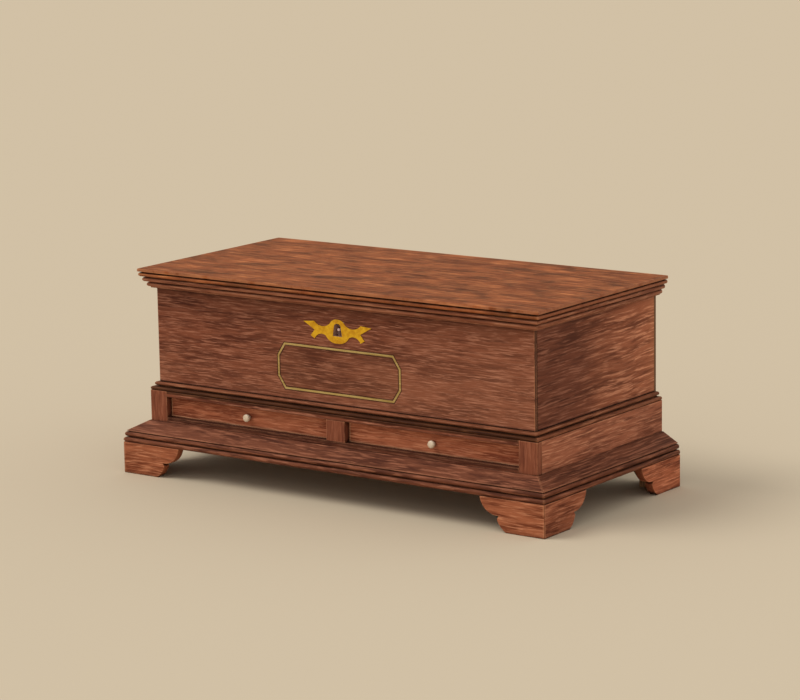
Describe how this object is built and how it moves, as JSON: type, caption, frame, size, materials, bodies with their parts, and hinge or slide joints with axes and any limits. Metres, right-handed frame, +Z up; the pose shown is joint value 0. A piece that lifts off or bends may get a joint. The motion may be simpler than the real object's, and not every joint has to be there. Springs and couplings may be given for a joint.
{
  "type": "mule chest",
  "caption": "Low lidded wooden chest over a wider case of side-by-side drawers, with stepped mouldings, a brass keyhole plate, bone knobs and scrolled bracket feet.",
  "frame": {"origin": "on the ground, below the middle of the chest's overall box", "axes": "+X to the right along the front as one faces it, +Y from the front to the back, +Z up"},
  "size_m": [1.458, 0.71, 0.599],
  "materials": {
    "case_wood": "red-brown stained, satin, worn",
    "lid_wood": "red-brown stained, satin, worn",
    "moulding_wood": "brown stained, satin",
    "foot_wood": "red-brown stained, satin",
    "plain_wood": "bare, aged",
    "line_inlay": "pale, satin",
    "brass": "aged, satin",
    "iron": "wrought, dark",
    "bone": "polished bone"
  },
  "bodies": {
    "case": {"back_board": "plain_wood", "back_hinge_leaves": "iron", "back_hinge_nails": "iron", "back_left_foot_back": "plain_wood", "back_left_foot_side": "foot_wood", "back_right_foot_back": "plain_wood", "back_right_foot_side": "foot_wood", "base_back_rail": "plain_wood", "base_front_moulding": "moulding_wood", "base_left_moulding": "moulding_wood", "base_right_moulding": "moulding_wood", "bottom_rail": "case_wood", "centre_stile": "case_wood", "chest_floor": "plain_wood", "drawer_case_back": "plain_wood", "drawer_case_left_side": "case_wood", "drawer_case_right_side": "case_wood", "drawer_guides": "plain_wood", "drawer_kickers": "plain_wood", "drawer_runners": "plain_wood", "foot_blocks": "plain_wood", "front_board": "case_wood", "front_left_foot_front": "foot_wood", "front_left_foot_side": "foot_wood", "front_line": "line_inlay", "front_right_foot_front": "foot_wood", "front_right_foot_side": "foot_wood", "hinge_pins": "iron", "keyhole_plate": "brass", "keyhole_plate_pins": "brass", "left_side_board": "case_wood", "left_stile": "case_wood", "lock_case": "iron", "right_side_board": "case_wood", "right_stile": "case_wood", "top_rail": "case_wood", "waist_front_moulding": "moulding_wood", "waist_left_moulding": "moulding_wood", "waist_right_moulding": "moulding_wood"},
    "lid": {"lid_board": "lid_wood", "lid_front_moulding": "moulding_wood", "lid_left_moulding": "moulding_wood", "lid_right_moulding": "moulding_wood", "lid_hinge_leaves": "iron", "lid_hinge_nails": "iron", "lock_staple": "iron"},
    "left_drawer": {"left_drawer_back": "plain_wood", "left_drawer_bottom": "plain_wood", "left_drawer_front": "case_wood", "left_drawer_knob": "bone", "left_drawer_left_side": "plain_wood", "left_drawer_right_side": "plain_wood"},
    "right_drawer": {"right_drawer_back": "plain_wood", "right_drawer_bottom": "plain_wood", "right_drawer_front": "case_wood", "right_drawer_knob": "bone", "right_drawer_left_side": "plain_wood", "right_drawer_right_side": "plain_wood"},
    "lock_bolt": {"lock_bolt": "iron"}
  },
  "joints": [
    {"name": "lid_hinge", "type": "hinge", "parent": "case", "child": "lid", "pos_m": [0, 0.35, 0.576], "axis": [-1, 0, 0], "range_deg": [0, 100]},
    {"name": "left_drawer_slide", "type": "slide", "parent": "case", "child": "left_drawer", "axis": [0, -1, 0], "range_m": [0, 0.42]},
    {"name": "right_drawer_slide", "type": "slide", "parent": "case", "child": "right_drawer", "axis": [0, -1, 0], "range_m": [0, 0.42]},
    {"name": "bolt_slide", "type": "slide", "parent": "case", "child": "lock_bolt", "axis": [1, 0, 0], "range_m": [0, 0.014]}
  ]
}
